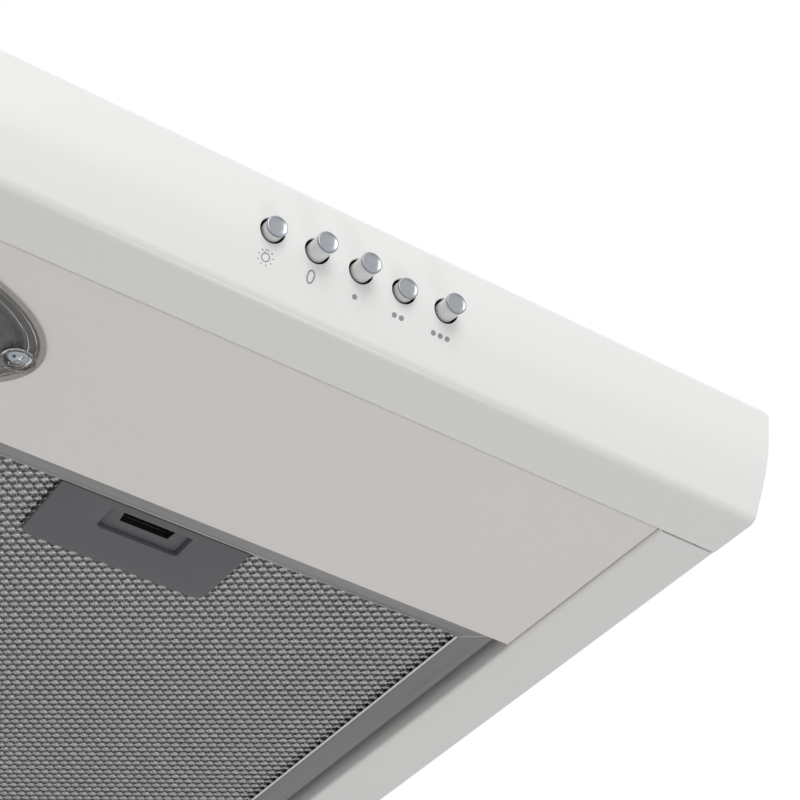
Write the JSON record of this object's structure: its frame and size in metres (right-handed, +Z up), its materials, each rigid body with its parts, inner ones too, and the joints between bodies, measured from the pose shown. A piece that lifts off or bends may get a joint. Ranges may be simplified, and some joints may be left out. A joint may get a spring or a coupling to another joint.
{
  "type": "under cabinet range hood",
  "caption": "White under cabinet range hood with push buttons, an oval lamp, hinged mesh grease filters with latches, a centrifugal fan and a round top duct collar with flaps.",
  "frame": {"origin": "middle of the footprint, on the plane of the underside", "axes": "+X to the right seen from the front, +Y to the back, +Z up"},
  "size_m": [0.598, 0.4748, 0.166],
  "materials": {
    "white_enamel": "semi-gloss white enamel",
    "front_enamel": "semi-gloss white enamel",
    "lamp_panel_enamel": "satin warm white enamel",
    "filter_aluminium": "brushed aluminium",
    "mesh_aluminium": "expanded aluminium mesh",
    "latch_plastic": "satin dark grey",
    "slider_plastic": "satin dark grey",
    "spring_steel": "bright drawn wire",
    "zinc_steel": "zinc plated sheet",
    "clear_cover": "clear moulded cover",
    "chrome_screw": "bright chromed",
    "ceramic_white": "unglazed white ceramic",
    "bulb_glass": "frosted glass",
    "button_chrome": "satin chromed plastic",
    "stem_plastic": "light grey moulded",
    "black_plastic": "black moulded",
    "blower_plastic": "grey moulded",
    "grille_plastic": "dark grey moulded",
    "fan_plastic": "black moulded",
    "motor_steel": "bare steel",
    "lamination_steel": "dull stacked sheet",
    "copper_wire": "enamelled copper",
    "sintered_bronze": "oiled sintered bronze",
    "collar_plastic": "black moulded",
    "flap_plastic": "black moulded",
    "capacitor_plastic": "white moulded",
    "box_plastic": "light grey moulded",
    "block_plastic": "ivory moulded",
    "gland_rubber": "black rubber",
    "wire_sheath": "light grey sheath",
    "zinc_screw": "zinc plated"
  },
  "bodies": {
    "hood": {"canopy": "white_enamel", "front_panel": "front_enamel", "lamp_panel": "lamp_panel_enamel", "filter_rail": "zinc_steel", "lamp_cover": "clear_cover", "lamp_cover_screw": "chrome_screw", "lamp_pan": "zinc_steel", "lamp_holder": "ceramic_white", "bulb": "bulb_glass", "switch_block": "black_plastic", "switch_bracket": "zinc_steel", "blower_housing": "blower_plastic", "blower_base": "blower_plastic", "inlet_grille": "grille_plastic", "motor_can": "motor_steel", "motor_stator": "lamination_steel", "motor_windings": "copper_wire", "motor_bearings": "sintered_bronze", "duct_collar": "collar_plastic", "flap_pin": "spring_steel", "rear_outlet_cover": "white_enamel", "capacitor": "capacitor_plastic", "capacitor_clip": "zinc_steel", "terminal_box": "box_plastic", "terminal_cover": "box_plastic", "terminal_block": "block_plastic", "cable_gland": "gland_rubber", "wiring": "wire_sheath", "panel_screws": "zinc_screw", "lamp_panel_screws": "zinc_screw", "blower_screws": "zinc_screw", "collar_screws": "zinc_screw", "motor_screws": "zinc_screw"},
    "filter_right": {"filter_frame_right": "filter_aluminium", "filter_mesh_right": "mesh_aluminium", "latch_plate_right": "latch_plastic", "latch_spring_right": "spring_steel"},
    "filter_left": {"filter_frame_left": "filter_aluminium", "filter_mesh_left": "mesh_aluminium", "latch_plate_left": "latch_plastic", "latch_spring_left": "spring_steel"},
    "latch_right": {"latch_slider_right": "slider_plastic"},
    "latch_left": {"latch_slider_left": "slider_plastic"},
    "button_light": {"cap_light": "button_chrome", "stem_light": "stem_plastic"},
    "button_off": {"cap_off": "button_chrome", "stem_off": "stem_plastic"},
    "button_speed_1": {"cap_speed_1": "button_chrome", "stem_speed_1": "stem_plastic"},
    "button_speed_2": {"cap_speed_2": "button_chrome", "stem_speed_2": "stem_plastic"},
    "button_speed_3": {"cap_speed_3": "button_chrome", "stem_speed_3": "stem_plastic"},
    "fan": {"impeller": "fan_plastic", "rotor": "motor_steel"},
    "flap_front": {"flap_front": "flap_plastic"},
    "flap_rear": {"flap_rear": "flap_plastic"}
  },
  "joints": [
    {"name": "filter_right_hinge", "type": "hinge", "parent": "hood", "child": "filter_right", "pos_m": [0.1361, 0.2005, 0.0075], "axis": [1, 0, 0], "range_deg": [0, 75]},
    {"name": "latch_right_slide", "type": "slide", "parent": "filter_right", "child": "latch_right", "axis": [0, 1, 0], "range_m": [0, 0.005], "stiffness_N_per_m": 300, "springref_m": -0.003, "deforming": ["latch_spring_right"]},
    {"name": "filter_left_hinge", "type": "hinge", "parent": "hood", "child": "filter_left", "pos_m": [-0.1361, 0.2005, 0.0075], "axis": [1, 0, 0], "range_deg": [0, 75]},
    {"name": "latch_left_slide", "type": "slide", "parent": "filter_left", "child": "latch_left", "axis": [0, 1, 0], "range_m": [0, 0.005], "stiffness_N_per_m": 300, "springref_m": -0.003, "deforming": ["latch_spring_left"]},
    {"name": "button_light_push", "type": "slide", "parent": "hood", "child": "button_light", "axis": [0, 0.9848, 0.1736], "range_m": [-0.0037, 0.0005]},
    {"name": "button_off_push", "type": "slide", "parent": "hood", "child": "button_off", "axis": [0, 0.9848, 0.1736], "range_m": [0, 0.004], "stiffness_N_per_m": 150, "springref_m": -0.003},
    {"name": "button_speed_1_push", "type": "slide", "parent": "hood", "child": "button_speed_1", "axis": [0, 0.9848, 0.1736], "range_m": [0, 0.004], "stiffness_N_per_m": 150, "springref_m": -0.003},
    {"name": "button_speed_2_push", "type": "slide", "parent": "hood", "child": "button_speed_2", "axis": [0, 0.9848, 0.1736], "range_m": [-0.0042, 0.0005]},
    {"name": "button_speed_3_push", "type": "slide", "parent": "hood", "child": "button_speed_3", "axis": [0, 0.9848, 0.1736], "range_m": [0, 0.004], "stiffness_N_per_m": 150, "springref_m": -0.003},
    {"name": "fan_spin", "type": "hinge", "parent": "hood", "child": "fan", "pos_m": [0, 0.025, 0.06], "axis": [0, 0, 1], "continuous": true},
    {"name": "flap_rear_swing", "type": "hinge", "parent": "hood", "child": "flap_rear", "pos_m": [0, 0.166, 0.1418], "axis": [1, 0, 0], "range_deg": [0, 75]},
    {"name": "flap_front_swing", "type": "hinge", "parent": "hood", "child": "flap_front", "pos_m": [0, 0.166, 0.1418], "axis": [-1, 0, 0], "range_deg": [0, 75]}
  ]
}
